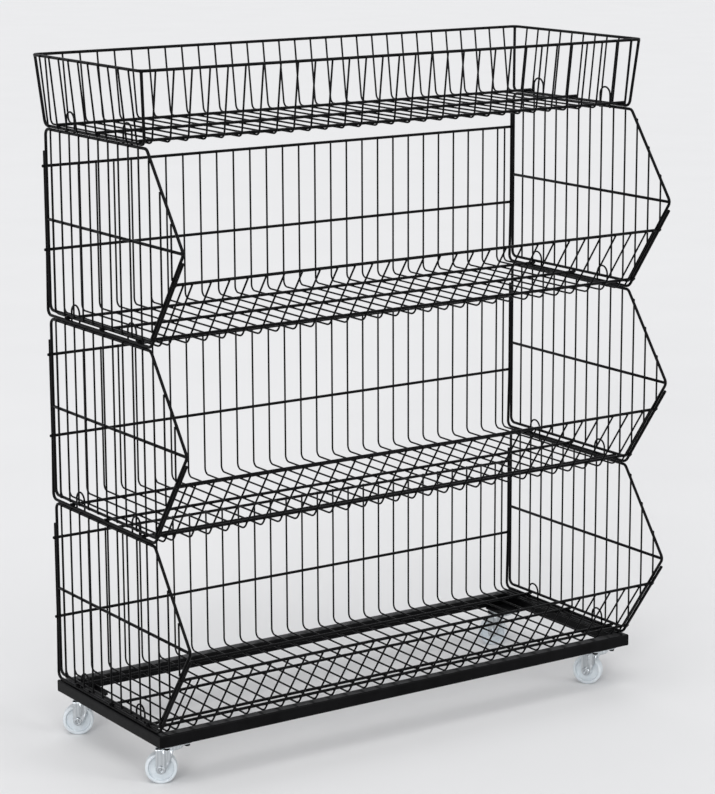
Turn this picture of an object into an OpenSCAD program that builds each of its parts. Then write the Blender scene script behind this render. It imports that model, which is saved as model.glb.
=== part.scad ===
// Stacking wire display rack: three open-front bins and a top basket on a wheeled base.
// Millimetres, +Z up, the floor at Z = 0, the open side of the bins towards -Y.

/* [Rack] */
// Distance between the end rods on the left and on the right
rack_w = 910; // [700:10:1100]
// Height from one bin to the next
bin_pitch = 300; // [280:5:360]
// Depth of a bin's flat floor
floor_d = 320; // [280:5:380]
// How far the front nose of a bin's side stands out past the floor
nose_out = 102; // [80:1:120]
// Height of the nose above the bin's bottom rod
nose_z = 144; // [135:1:165]

/* [Rods and wires] */
// Diameter of the frame rods
rod_d = 4.8; // [4.2:0.1:5.4]
// Diameter of the mesh wires
wire_d = 3; // [2.6:0.1:3.6]
// How deep two crossing wires are pressed into each other by the weld
weld = 0.5; // [0.3:0.05:0.7]
// Bend radius of the rods and wires, to their centreline
bend_r = 10; // [8:0.5:12]
// Bend radius of the mesh at the front of a bin's floor
front_r = 20; // [12:1:22]

/* [Bin mesh] */
// Evenly spaced mesh wires across a bin
mesh_wires = 28; // [20:1:34]
// Upright wires in a bin's side
side_wires = 13; // [9:1:15]
// Height of the back panel's top rod above the bin's bottom rod
back_top_z = 227; // [200:1:245]
// Height of the back panel's middle rod
back_mid_z = 95; // [70:1:130]
// Distance of the lip's top rod up the slope from the floor
lip_top = 120; // [110:1:126]
// How far the end rods run up the slope past the lip's top rod
lip_over = 44; // [20:1:46]
// How far the end rods stand up past the back panel
end_over = 24; // [12:1:30]

/* [Locating loops] */
// Width of a loop between the centrelines of its legs
loop_w = 26; // [22:1:30]
// Height of a loop above the rod that carries it
loop_h = 32; // [28:1:34]
// Play between parts that rest on each other
rest_gap = 0.3; // [0.2:0.05:0.6]

/* [Top basket] */
// Height of the basket's rim above its bottom rod
rim_h = 109; // [80:1:140]
// Depth of the basket at its bottom
basket_d = 314; // [270:2:330]
// How far the basket's corners lean out at the front and back
lean_y = 10.8; // [6:0.2:14]
// How far the basket's corners lean out at the sides
lean_x = 9; // [6:0.2:12]
// Upright wires along the basket's front and back
basket_wires = 30; // [22:1:34]
// Upright wires in each basket side
basket_side_wires = 10; // [7:1:11]

/* [Base] */
// Width of the square tube
tube = 20; // [18:1:25]
// Wall of the square tube
tube_wall = 1.5; // [1:0.1:2]
// Height of the tube's underside above the floor
base_z = 70; // [66:1:80]
// Depth of the base frame from face to face
base_d = 336; // [320:2:350]
// Thickness of a corner plate
corner_t = 4; // [3:0.1:5]

/* [Casters] */
// Wheel diameter
wheel_d = 50; // [44:1:52]
// Width of the wheel's tread
wheel_w = 17; // [14:0.5:20]
// Distance from the swivel axis back to the wheel's axle
trail = 18; // [14:0.5:22]
// Axle diameter
axle_d = 6; // [5:0.5:8]
// Swivel pin diameter
kingpin_d = 8; // [7:0.5:10]
// Balls in each swivel bearing
ball_count = 12; // [8:1:14]

/* [Hidden] */

wire_fn = 24;
round_fn = 48;
// Play left between welded pieces that are modelled apart
seam = 0.02;
// Share of a bend that the piece on each side of a cut has
half_bend = 0.499;
// How much thicker a bend is than its straight rods, and how far they run into it
swell = 0.04;
lap = 0.3;
// Radial play of a turning fit
play = 0.05;

half_w = rack_w / 2;
// Distances of the mesh's layers from the plane of the side rods
off_rod = rod_d + seam;
off_wire = off_rod + (rod_d + wire_d) / 2 - weld;
off_end = off_rod + rod_d - weld;
// Plane of the side wires, outside the side rods
side_x = half_w + (rod_d + wire_d) / 2 - weld;
// How far a cross rod passes the end rods
rod_end = half_w + rod_d / 2 + 3;
// How far a thin wire passes the last rod that it is welded to
wire_tip = rod_d / 2 + 1.5;

base_top = base_z + tube;
bin_stack = off_end + rod_d / 2 + rest_gap;
bin_z0 = base_top + bin_stack;
// Height of a bin's side, between the centrelines of its bottom and top rods
side_h = bin_pitch - rod_d / 2 - bin_stack;
basket_z0 = bin_z0 + 2 * bin_pitch + side_h + rod_d + rest_gap;

// The slope of the lip, as a direction and an outward normal in the (y, z) plane
lip_len = norm([nose_out, nose_z]);
lip_dir = [-nose_out / lip_len, nose_z / lip_len];
lip_out = [-nose_z / lip_len, -nose_out / lip_len];
// Shift of the floor's front corner for a layer one millimetre further out
lip_shift = (1 - nose_out / lip_len) * lip_len / nose_z;

function lip_point(t, off) = [-floor_d, 0] + t * lip_dir + off * lip_out;
function front_corner(off) = [-floor_d - lip_shift * off, -off];

floor_rods = [0.18, 0.534, 0.906] * floor_d;
lip_foot = 11.4;
lip_end = lip_top + lip_over;
back_end = back_top_z + end_over;

mesh_edge = 28.4;
mesh_first = half_w - mesh_edge;
mesh_pitch = 2 * mesh_first / (mesh_wires - 1);
edge_wire = half_w - 13.2;
mesh_x = concat([-edge_wire], [for (i = [0 : mesh_wires - 1]) -mesh_first + i * mesh_pitch], [edge_wire]);

side_first = 23;
side_last = floor_d + nose_out - 29;
side_pitch = (side_last - side_first) / (side_wires - 1);

loop_x = half_w - rod_d / 2 - rest_gap - wire_d / 2;
// The rear loops stand clear of the floor rod behind them, the front loops of the basket's front rod
loop_clear = 1.2;
loop_y = [-floor_rods[0] - (rod_d + wire_d + loop_w) / 2 - loop_clear, -min(0.8 * floor_d, basket_d - 58)];

rim_lap = (1 - sqrt(0.5)) * bend_r;
rim_x = half_w + lean_x + rim_lap;
rim_back = lean_y + rim_lap;
rim_front = -basket_d - lean_y - rim_lap;
basket_first = half_w - 11.3;
basket_pitch = 2 * basket_first / (basket_wires - 1);
basket_mid = -basket_d / 2;
basket_side_pitch = (basket_d - 33) / (basket_side_wires - 1);
basket_rod_back = -46;
basket_rod_front = 13 - basket_d;
basket_rods = [basket_rod_back, (basket_rod_back + basket_rod_front) / 2, basket_rod_front];
basket_wire_z = off_rod - (rod_d + wire_d) / 2 + weld;
wall_off = (rod_d + wire_d) / 2 - weld;
wall_foot = rod_d / 2;
lean_angle = atan(lean_x / rim_h);
side_slope = norm([lean_x, rim_h]);

base_back = 5;
base_front = base_back - base_d;
base_mid = (base_front + base_back) / 2;
base_half = half_w + 5;

swivel_in_x = 40;
swivel_in_y = 32;
plate_w = 46;
plate_d = 38;
plate_t = 2.5;
screw_x = 18;
screw_y = 14;
screw_d = 5;
screw_head = 8;
corner_over = 3;
plate_z = base_z - seam - corner_t;
ball_d = 4.6;
ball_ring = 12;
cup_r = 17;
fork_t = 2.5;
fork_z = plate_z - seam - plate_t - ball_d + 0.6;
pin_head = 14;
pin_head_t = 3;
leg_in = wheel_w / 2 + 2.6;
hub_half = wheel_w / 2 + 2.3;
leg_end_r = 8;
wheel_r = wheel_d / 2;
axle_z = wheel_r;
axle_head_d = 14;
axle_head_t = 2.4;
axle_hollow_d = 7.5;
nut_t = 5;
nut_d = 11.5;

swivel_left = -base_half + swivel_in_x;
swivel_right = base_half - swivel_in_x;
swivel_front = base_front + swivel_in_y;
swivel_back = base_back - swivel_in_y;
// Place and heading of each caster: the heading is the way that its wheel trails
front_left = [swivel_left, swivel_front, 148];
front_right = [swivel_right, swivel_front, 125];
back_left = [swivel_left, swivel_back, 148];
back_right = [swivel_right, swivel_back, 140];
casters = [front_left, front_right, back_left, back_right];

// The rack's foremost and rearmost points, and the shift that centres the part on them
end_tip = lip_point(lip_end, off_end + rod_d / 2);
foremost = end_tip[0];
rearmost = rim_back + (wall_off + wire_d / 2) * 1.004 + 0.2;
shift_y = -(foremost + rearmost) / 2;

black = [0.07, 0.07, 0.08];
zinc = [0.72, 0.73, 0.75];
clear_white = [0.86, 0.89, 0.9];

// A straight rod from point a to point b
module bar(a, b, d) {
    v = b - a;
    translate(a)
        rotate([0, acos(v[2] / norm(v)), atan2(v[1], v[0])])
            cylinder(d = d, h = norm(v), $fn = wire_fn);
}

// A rod along X between -half and half, at the height and depth given
module cross_rod(half, y, z, d) {
    translate([-half, y, z])
        rotate([0, 90, 0])
            cylinder(d = d, h = 2 * half, $fn = wire_fn);
}

// Sets a drawing made in the XY plane upright, with its X along Y and its Y along Z
module upright(x) {
    translate([x, 0, 0])
        rotate([90, 0, 90])
            children();
}

function unit(v) = v / norm(v);
function turn(a, b) = atan2(a[0] * b[1] - a[1] * b[0], a[0] * b[0] + a[1] * b[1]);
function setback(a, b, r) = r * tan(abs(turn(a, b)) / 2);

// The part from f0 to f1 of the bend at corner c, from direction a into direction b, in the XY plane
module bend(c, a, b, r, d, f0 = 0, f1 = 1) {
    t = turn(a, b);
    side = t > 0 ? [-a[1], a[0]] : [a[1], -a[0]];
    middle = c - setback(a, b, r) * a + r * side;
    start = atan2(-side[1], -side[0]);
    first = t > 0 ? start + t * f0 : start + t * f1;
    translate([middle[0], middle[1], 0])
        rotate([0, 0, first])
            rotate_extrude(angle = abs(t) * (f1 - f0), $fn = 96)
                translate([r, 0])
                    circle(d = d + swell, $fn = wire_fn);
}

// A straight rod in the XY plane, from a to b, cut short by sa and sb where a bend follows
module run(a, b, d, sa = 0, sb = 0) {
    u = unit(b - a);
    p = a + (sa > 0 ? sa - lap : 0) * u;
    q = b - (sb > 0 ? sb - lap : 0) * u;
    bar([p[0], p[1], 0], [q[0], q[1], 0], d);
}

// A closed loop of rod in the XY plane, bent at every point
module rod_loop(pts, r, d) {
    n = len(pts);
    for (i = [0 : n - 1]) {
        before = unit(pts[i] - pts[(i + n - 1) % n]);
        along = unit(pts[(i + 1) % n] - pts[i]);
        after = unit(pts[(i + 2) % n] - pts[(i + 1) % n]);
        bend(pts[i], before, along, r, d);
        run(pts[i], pts[(i + 1) % n], d, setback(before, along, r), setback(along, after, r));
    }
}

// One upright of a bin's back, with half of the bend into the floor
module back_piece(off, top, d) {
    run([off, top], [off, -off], d, 0, bend_r);
    bend([off, -off], [0, -1], [-1, 0], bend_r, d, 0, half_bend);
}

// One wire of a bin's floor, with half of the bend at each end
module floor_piece(off, d) {
    corner = front_corner(off);
    bend([off, -off], [0, -1], [-1, 0], bend_r, d, 1 - half_bend, 1);
    run([off, -off], corner, d, bend_r, setback([-1, 0], lip_dir, front_r));
    bend(corner, [-1, 0], lip_dir, front_r, d, 0, half_bend);
}

// One wire of a bin's lip, with half of the bend into the floor
module lip_piece(off, t_end, d) {
    corner = front_corner(off);
    bend(corner, [-1, 0], lip_dir, front_r, d, 1 - half_bend, 1);
    run(corner, lip_point(t_end, off), d, setback([-1, 0], lip_dir, front_r), 0);
}

module at_bin(level) {
    translate([0, shift_y, bin_z0 + level * bin_pitch])
        children();
}

// Where the bent nose rod's centreline crosses the middle rod
brow_dir = unit([-nose_out, nose_z - side_h]);
nose_in = -floor_d - nose_out + bend_r * (1 / cos(turn(brow_dir, -lip_dir) / 2) - 1);

// Lowest and highest point of a side wire at distance y from the back rod
function slope_share(y) = max(0, (y - floor_d) / nose_out);
function side_low(y) = slope_share(y) * nose_z;
function side_high(y) = side_h - slope_share(y) * (side_h - nose_z);

// The left side of a bin: a bent loop, a middle rod and upright wires on its outer face
module bin_side(level) {
    color(black)
        at_bin(level) {
            upright(-half_w) {
                rod_loop([[0, 0], [0, side_h], [-floor_d, side_h], [-floor_d - nose_out, nose_z], [-floor_d, 0]],
                    bend_r, rod_d);
                run([weld - rod_d / 2, nose_z], [nose_in + rod_d / 2 - weld, nose_z], rod_d);
            }
            for (i = [0 : side_wires - 1]) {
                y = side_first + i * side_pitch;
                bar([-side_x, -y, side_low(y) - 1], [-side_x, -y, side_high(y) + 1], wire_d);
            }
        }
}

module bin_back(level) {
    color(black)
        at_bin(level) {
            for (z = [back_mid_z, back_top_z])
                cross_rod(rod_end, off_rod, z, rod_d);
            for (x = mesh_x)
                upright(x)
                    back_piece(off_wire, back_top_z + wire_tip, wire_d);
            for (x = [-half_w, half_w])
                upright(x)
                    back_piece(off_end, back_end, rod_d);
        }
}

module bin_floor(level) {
    color(black)
        at_bin(level) {
            for (y = floor_rods)
                cross_rod(rod_end, -y, -off_rod, rod_d);
            for (x = mesh_x)
                upright(x)
                    floor_piece(off_wire, wire_d);
            for (x = [-half_w, half_w])
                upright(x)
                    floor_piece(off_end, rod_d);
        }
}

module bin_lip(level) {
    color(black)
        at_bin(level) {
            for (t = [lip_foot, lip_top])
                cross_rod(rod_end, lip_point(t, off_rod)[0], lip_point(t, off_rod)[1], rod_d);
            for (x = mesh_x)
                upright(x)
                    lip_piece(off_wire, lip_top + wire_tip, wire_d);
            for (x = [-half_w, half_w])
                upright(x)
                    lip_piece(off_end, lip_end, rod_d);
        }
}

// A locating loop: two legs and a round top, at height zero on its rod's centreline
module locating_loop(foot) {
    r = loop_w / 2;
    for (s = [-r, r])
        bar([0, s, -foot], [0, s, loop_h - r], wire_d);
    translate([0, 0, loop_h - r])
        rotate([90, 0, 90])
            rotate_extrude(angle = 180, $fn = 96)
                translate([r, 0])
                    circle(d = wire_d, $fn = wire_fn);
}

// The four loops of a bin, held to the top side rods by a weld bead at each leg
module bin_loops(level) {
    bead = wire_d;
    color(black)
        at_bin(level)
            translate([0, 0, side_h])
                for (side = [-1, 1], y = loop_y) {
                    translate([side * loop_x, y, 0])
                        locating_loop(rod_d / 2);
                    for (s = [-loop_w / 2, loop_w / 2])
                        translate([side * (half_w - rod_d / 2 - seam - bead / 2), y + s, 0])
                            sphere(d = bead, $fn = wire_fn);
                }
}

module base_loops() {
    color(black)
        translate([0, shift_y, base_top - rod_d / 2])
            for (side = [-1, 1], y = loop_y)
                translate([side * loop_x, y, 0])
                    locating_loop(-rod_d / 2 - seam);
}

// One side wall of the basket, on the left: a bent rod, upright wires and its part of the rim
module basket_side() {
    leg_share = (rim_h - rod_d / 2 - swell - seam) / rim_h;
    top_s = side_slope * leg_share;
    foot_back = unit([lean_y, side_slope]);
    foot_front = unit([-lean_y, side_slope]);
    color(black)
        translate([0, shift_y, basket_z0]) {
            translate([-half_w, 0, 0])
                rotate([0, -lean_angle, 0])
                    upright(0) {
                        run([lean_y * leg_share, top_s], [0, 0], rod_d, 0, setback(-foot_back, [-1, 0], bend_r));
                        bend([0, 0], -foot_back, [-1, 0], bend_r, rod_d);
                        run([0, 0], [-basket_d, 0], rod_d,
                            setback(-foot_back, [-1, 0], bend_r), setback([-1, 0], foot_front, bend_r));
                        bend([-basket_d, 0], [-1, 0], foot_front, bend_r, rod_d);
                        run([-basket_d, 0], [-basket_d - lean_y * leg_share, top_s], rod_d,
                            setback([-1, 0], foot_front, bend_r), 0);
                    }
            for (i = [0 : basket_side_wires - 1]) {
                y = basket_mid + (i - (basket_side_wires - 1) / 2) * basket_side_pitch;
                bar([-half_w - wall_off, y, -0.5], [-rim_x - wall_off, y, rim_h + 0.5], wire_d);
            }
            translate([-rim_x, 0, rim_h])
                rotate([0, 0, 90])
                    rim_part(rim_front, rim_back);
        }
}

// A straight part of the rim along X, from a to b, with half of the bend at each end, towards -Y
module rim_part(a, b) {
    run([a, 0], [b, 0], rod_d, bend_r, bend_r);
    bend([b, 0], [1, 0], [0, -1], bend_r, rod_d, 0, half_bend);
    bend([a, 0], [0, 1], [1, 0], bend_r, rod_d, 1 - half_bend, 1);
}

// The line of a basket wire in its wall, as seen from the left: foot and top corner
wall_back_foot = [wall_foot, basket_wire_z];
wall_back_top = [rim_back + wall_off, rim_h];
wall_front_foot = [-basket_d - wall_foot, basket_wire_z];
wall_front_top = [rim_front - wall_off, rim_h];
back_down = unit(wall_back_foot - wall_back_top);
front_up = unit(wall_front_top - wall_front_foot);

module basket_back() {
    color(black)
        translate([0, shift_y, basket_z0]) {
            for (i = [0 : basket_wires - 1])
                upright(-basket_first + i * basket_pitch) {
                    run(wall_back_top - 1.5 * back_down, wall_back_foot, wire_d, 0, setback(back_down, [-1, 0], bend_r));
                    bend(wall_back_foot, back_down, [-1, 0], bend_r, wire_d, 0, half_bend);
                }
            translate([0, rim_back, rim_h])
                rim_part(-rim_x, rim_x);
        }
}

module basket_front() {
    color(black)
        translate([0, shift_y, basket_z0]) {
            for (i = [0 : basket_wires - 1])
                upright(-basket_first + i * basket_pitch) {
                    bend(wall_front_foot, [-1, 0], front_up, bend_r, wire_d, 1 - half_bend, 1);
                    run(wall_front_foot, wall_front_top + 1.5 * front_up, wire_d, setback([-1, 0], front_up, bend_r), 0);
                }
            translate([0, rim_front, rim_h])
                rotate([0, 0, 180])
                    rim_part(-rim_x, rim_x);
        }
}

module basket_floor() {
    color(black)
        translate([0, shift_y, basket_z0]) {
            for (y = basket_rods)
                cross_rod(half_w + rod_d / 2, y, off_rod, rod_d);
            for (i = [0 : basket_wires - 1])
                upright(-basket_first + i * basket_pitch) {
                    bend(wall_back_foot, back_down, [-1, 0], bend_r, wire_d, 1 - half_bend, 1);
                    run(wall_back_foot, wall_front_foot, wire_d,
                        setback(back_down, [-1, 0], bend_r), setback([-1, 0], front_up, bend_r));
                    bend(wall_front_foot, [-1, 0], front_up, bend_r, wire_d, 0, half_bend);
                }
        }
}

// A mitred length of square tube along X, with its outer face on Y = 0 and its inner face at Y = tube
module mitred_rail(length) {
    h = length / 2 - seam;
    difference() {
        linear_extrude(tube)
            polygon([[-h, 0], [h, 0], [h - tube, tube], [tube - h, tube]]);
        translate([-h, tube_wall, tube_wall])
            cube([2 * h, tube - 2 * tube_wall, tube - 2 * tube_wall]);
    }
}

module base_rail(x, y, heading, length) {
    color(black)
        translate([x, y + shift_y, base_z])
            rotate([0, 0, heading])
                mitred_rail(length);
}

// A flat plate with cut corners, centred on the origin
module plate_outline(w, d, cut) {
    x = w / 2;
    y = d / 2;
    polygon([[cut - x, -y], [x - cut, -y], [x, cut - y], [x, y - cut], [x - cut, y], [cut - x, y],
        [-x, y - cut], [-x, cut - y]]);
}

module screw_places() {
    for (sx = [-1, 1], sy = [-1, 1])
        translate([sx * screw_x, sy * screw_y, 0])
            children();
}

module at_caster(place) {
    translate([place[0], place[1] + shift_y, 0])
        children();
}

module corner_plates() {
    color(black)
        for (place = casters)
            at_caster(place)
                translate([0, 0, plate_z])
                    difference() {
                        linear_extrude(corner_t)
                            plate_outline(plate_w + 2 * corner_over, plate_d + 2 * corner_over, 6);
                        translate([0, 0, -1])
                            cylinder(d = pin_head + 4, h = corner_t + 2, $fn = round_fn);
                        screw_places()
                            translate([0, 0, -1])
                                cylinder(d = screw_d + 2 * seam, h = corner_t + 2, $fn = round_fn);
                    }
}

module plate_screws() {
    top = plate_z + corner_t - 0.1;
    under = plate_z - plate_t - 3 * seam;
    head_t = 3.5;
    color(black)
        for (place = casters)
            at_caster(place)
                screw_places() {
                    translate([0, 0, under])
                        cylinder(d = screw_d, h = top - under, $fn = round_fn);
                    translate([0, 0, under - head_t])
                        cylinder(d = screw_head / cos(30), h = head_t, $fn = 6);
                }
}

module ball_groove(z) {
    translate([0, 0, z])
        rotate_extrude($fn = 96)
            translate([ball_ring, 0])
                circle(d = ball_d + 2 * play, $fn = round_fn);
}

ball_z = plate_z - seam - plate_t + 0.3 - ball_d / 2;

// The fixed top plate of a caster, with the upper half of the ball race
module caster_plate(place) {
    color(zinc)
        at_caster(place)
            difference() {
                translate([0, 0, plate_z - seam - plate_t])
                    linear_extrude(plate_t)
                        plate_outline(plate_w, plate_d, 4);
                translate([0, 0, plate_z - seam - plate_t - 1])
                    cylinder(d = kingpin_d + 2 * seam, h = plate_t + 2, $fn = round_fn);
                screw_places()
                    translate([0, 0, plate_z - seam - plate_t - 1])
                        cylinder(d = screw_d + 2 * seam, h = plate_t + 2, $fn = round_fn);
                ball_groove(ball_z);
            }
}

module swivel_pins() {
    foot = fork_z - fork_t - 0.2 - pin_head_t;
    top = plate_z + seam;
    color(zinc)
        for (place = casters)
            at_caster(place) {
                translate([0, 0, foot])
                    cylinder(d = kingpin_d, h = top + 1 - foot, $fn = round_fn);
                translate([0, 0, foot])
                    cylinder(d = pin_head, h = pin_head_t, $fn = round_fn);
                translate([0, 0, top])
                    cylinder(d1 = pin_head, d2 = pin_head - 3, h = 1.6, $fn = round_fn);
            }
}

module swivel_balls() {
    color(zinc)
        for (place = casters)
            at_caster(place)
                for (i = [0 : ball_count - 1])
                    rotate([0, 0, i * 360 / ball_count])
                        translate([ball_ring, 0, ball_z])
                            sphere(d = ball_d, $fn = wire_fn);
}

module at_fork(place) {
    at_caster(place)
        rotate([0, 0, place[2]])
            children();
}

// Where the line from a point outside a circle touches it, on the side given
function touch_point(p, c, r, side) =
    let (v = p - c, d = norm(v), a = atan2(v[1], v[0]) + side * acos(r / d))
    c + r * [cos(a), sin(a)];

// A fork leg seen from the side: a wide top that narrows to a round end at the axle
module leg_outline(top) {
    back = [-4, top];
    fore = [trail + leg_end_r, top];
    c = [trail, axle_z];
    difference() {
        union() {
            polygon([back, touch_point(back, c, leg_end_r, 1), c, touch_point(fore, c, leg_end_r, -1), fore]);
            translate(c)
                circle(r = leg_end_r, $fn = round_fn);
        }
        translate(c)
            circle(d = axle_d + 2 * seam, $fn = round_fn);
    }
}

// The swivelling fork: a ball cup on the pin and two legs that hold the axle
module caster_fork(place) {
    cup_h = 3.6;
    color(zinc)
        at_fork(place)
            difference() {
                union() {
                    translate([0, 0, fork_z - fork_t])
                        cylinder(r = cup_r, h = fork_t + cup_h, $fn = round_fn);
                    for (v = [leg_in, -leg_in - fork_t])
                        translate([0, v, 0])
                            translate([0, fork_t, 0])
                                rotate([90, 0, 0])
                                    linear_extrude(fork_t)
                                        leg_outline(fork_z - 0.4);
                }
                translate([0, 0, fork_z])
                    cylinder(r = cup_r - 1.6, h = cup_h + 1, $fn = round_fn);
                translate([0, 0, fork_z - fork_t - 1])
                    cylinder(d = kingpin_d + 2 * play, h = fork_t + 2, $fn = round_fn);
                ball_groove(ball_z);
            }
}

// The wheel: tread, web and hub in one turned outline
module caster_wheel(place) {
    hub_r = 9;
    rim_in = wheel_r - 5;
    web = 3;
    w = wheel_w / 2;
    color(clear_white)
        at_fork(place)
            translate([trail, 0, axle_z])
                rotate([90, 0, 0])
                    rotate_extrude($fn = 96)
                        polygon([[axle_d / 2 + play, -hub_half], [hub_r - 1, -hub_half], [hub_r, 1 - hub_half],
                            [hub_r + 0.5, -web], [rim_in - 0.5, -web], [rim_in, 1 - w], [rim_in + 1, -w],
                            [wheel_r - 2.5, -w], [wheel_r, 2.5 - w], [wheel_r, w - 2.5], [wheel_r - 2.5, w],
                            [rim_in + 1, w], [rim_in, w - 1], [rim_in - 0.5, web], [hub_r + 0.5, web],
                            [hub_r, hub_half - 1], [hub_r - 1, hub_half], [axle_d / 2 + play, hub_half]]);
}

// The axle: a rivet-like bolt with a round, hollowed head on the outer side
module caster_axle(place) {
    face = leg_in + fork_t + seam;
    color(zinc)
        at_fork(place)
            translate([trail, 0, axle_z])
                rotate([-90, 0, 0])
                    difference() {
                        union() {
                            translate([0, 0, -face - nut_t - 1])
                                cylinder(d = axle_d, h = 2 * face + nut_t + 2, $fn = round_fn);
                            translate([0, 0, face])
                                cylinder(d1 = axle_head_d, d2 = axle_head_d - 3, h = axle_head_t, $fn = round_fn);
                        }
                        translate([0, 0, face + 0.8])
                            cylinder(d = axle_hollow_d, h = axle_head_t, $fn = round_fn);
                    }
}

module axle_nut(place) {
    face = leg_in + fork_t + 2 * seam;
    color(zinc)
        at_fork(place)
            translate([trail, 0, axle_z])
                rotate([-90, 0, 0])
                    translate([0, 0, -face - nut_t])
                        difference() {
                            cylinder(d = nut_d, h = nut_t, $fn = 6);
                            translate([0, 0, -1])
                                cylinder(d = axle_d + 2 * seam, h = nut_t + 2, $fn = round_fn);
                        }
}

base_rail(0, base_front, 0, 2 * base_half);  // base_rail_front
base_rail(0, base_back, 180, 2 * base_half);  // base_rail_back
base_rail(-base_half, base_mid, -90, base_d);  // base_rail_left
base_rail(base_half, base_mid, 90, base_d);  // base_rail_right
corner_plates();
base_loops();
caster_plate(front_left);  // caster_plate_front_left
caster_plate(front_right);  // caster_plate_front_right
caster_plate(back_left);  // caster_plate_back_left
caster_plate(back_right);  // caster_plate_back_right
plate_screws();
swivel_pins();
swivel_balls();
caster_fork(front_left);  // caster_fork_front_left
caster_fork(front_right);  // caster_fork_front_right
caster_fork(back_left);  // caster_fork_back_left
caster_fork(back_right);  // caster_fork_back_right
caster_axle(front_left);  // caster_axle_front_left
caster_axle(front_right);  // caster_axle_front_right
caster_axle(back_left);  // caster_axle_back_left
caster_axle(back_right);  // caster_axle_back_right
axle_nut(front_left);  // axle_nut_front_left
axle_nut(front_right);  // axle_nut_front_right
axle_nut(back_left);  // axle_nut_back_left
axle_nut(back_right);  // axle_nut_back_right
caster_wheel(front_left);  // caster_wheel_front_left
caster_wheel(front_right);  // caster_wheel_front_right
caster_wheel(back_left);  // caster_wheel_back_left
caster_wheel(back_right);  // caster_wheel_back_right
bin_side(0);  // lower_bin_side_left
mirror([1, 0, 0]) bin_side(0);  // lower_bin_side_right
bin_back(0);  // lower_bin_back
bin_floor(0);  // lower_bin_floor
bin_lip(0);  // lower_bin_lip
bin_loops(0);  // lower_bin_loops
bin_side(1);  // middle_bin_side_left
mirror([1, 0, 0]) bin_side(1);  // middle_bin_side_right
bin_back(1);  // middle_bin_back
bin_floor(1);  // middle_bin_floor
bin_lip(1);  // middle_bin_lip
bin_loops(1);  // middle_bin_loops
bin_side(2);  // upper_bin_side_left
mirror([1, 0, 0]) bin_side(2);  // upper_bin_side_right
bin_back(2);  // upper_bin_back
bin_floor(2);  // upper_bin_floor
bin_lip(2);  // upper_bin_lip
bin_loops(2);  // upper_bin_loops
basket_side();  // basket_side_left
mirror([1, 0, 0]) basket_side();  // basket_side_right
basket_front();
basket_back();
basket_floor();
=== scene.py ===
import math

import bpy
import numpy as np
from mathutils import Euler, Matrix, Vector


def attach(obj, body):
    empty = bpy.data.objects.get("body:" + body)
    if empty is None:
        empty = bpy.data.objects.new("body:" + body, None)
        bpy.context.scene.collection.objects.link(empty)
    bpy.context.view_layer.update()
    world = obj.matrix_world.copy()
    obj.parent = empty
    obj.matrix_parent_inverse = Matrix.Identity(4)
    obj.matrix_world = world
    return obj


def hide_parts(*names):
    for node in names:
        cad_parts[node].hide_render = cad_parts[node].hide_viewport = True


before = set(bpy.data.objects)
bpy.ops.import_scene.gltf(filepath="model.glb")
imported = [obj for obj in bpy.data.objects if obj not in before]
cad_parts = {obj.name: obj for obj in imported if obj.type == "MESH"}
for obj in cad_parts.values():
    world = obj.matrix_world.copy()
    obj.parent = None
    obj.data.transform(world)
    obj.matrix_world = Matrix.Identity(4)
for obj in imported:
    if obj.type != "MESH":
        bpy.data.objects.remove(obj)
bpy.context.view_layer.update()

MM = 0.001

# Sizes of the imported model, in millimetres. FRONT_R, WIRE_FRONT_R, LIP_FOOT, OFF_CLOSE, WIRE_UNDER and the last of
# FLOOR_ROD_SHARES follow the photograph a little more closely than the model does.

# Rods and wires: thickness, welds, bends, and how far the ends stand past what they are welded to
ROD, WIRE, WELD, SEAM, REST = 4.8, 3.0, 0.5, 0.02, 0.3
BEND_R, FRONT_R, WIRE_FRONT_R, CLOSE_R = 10.0, 16.0, 14.0, 200
ROD_OVER, WIRE_OVER, WIRE_UNDER, UPRIGHT_OVER, BASKET_OVER = 3, 1.5, 0.4, 1.0, 0.5

# Bins
HALF_W, PITCH, FLOOR_D = 455.0, 300.0, 320.0
NOSE_OUT, NOSE_Z = 102.0, 144.0
MESH_WIRES, SIDE_WIRES = 28, 13
MESH_INSET, EDGE_INSET, SIDE_FIRST, SIDE_LAST = 28.4, 13.2, 23, 29
BACK_TOP, BACK_MID, BACK_OVER = 227.0, 95.0, 24.0
LIP_TOP, LIP_OVER, LIP_FOOT, OFF_CLOSE = 120.0, 44.0, 9.4, 6.0
FLOOR_ROD_SHARES = (0.18, 0.534, 0.898)
LOOP_W, LOOP_H, LOOP_CLEAR, LOOP_SHARE = 26.0, 32.0, 1.2, 0.8

# Basket
RIM_H, RIM_GAP, BASKET_D, LEAN_Y, LEAN_X = 109.0, 0.06, 314.0, 10.8, 9.0
BASKET_WIRES, BASKET_SIDE_WIRES = 30, 10
BASKET_INSET, BASKET_SIDE_INSET, BASKET_RODS = 11.3, 33, (-46, 13)

# Base
TUBE, TUBE_EDGE, BASE_Z, BASE_D, BASE_OVER = 20.0, 2.5, 70.0, 336.0, 5.0
MITRE_IN, MITRE_D = 0.75, 2.1
CORNER_T, CORNER_OVER, CORNER_R = 4.0, 3.0, 7

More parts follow.
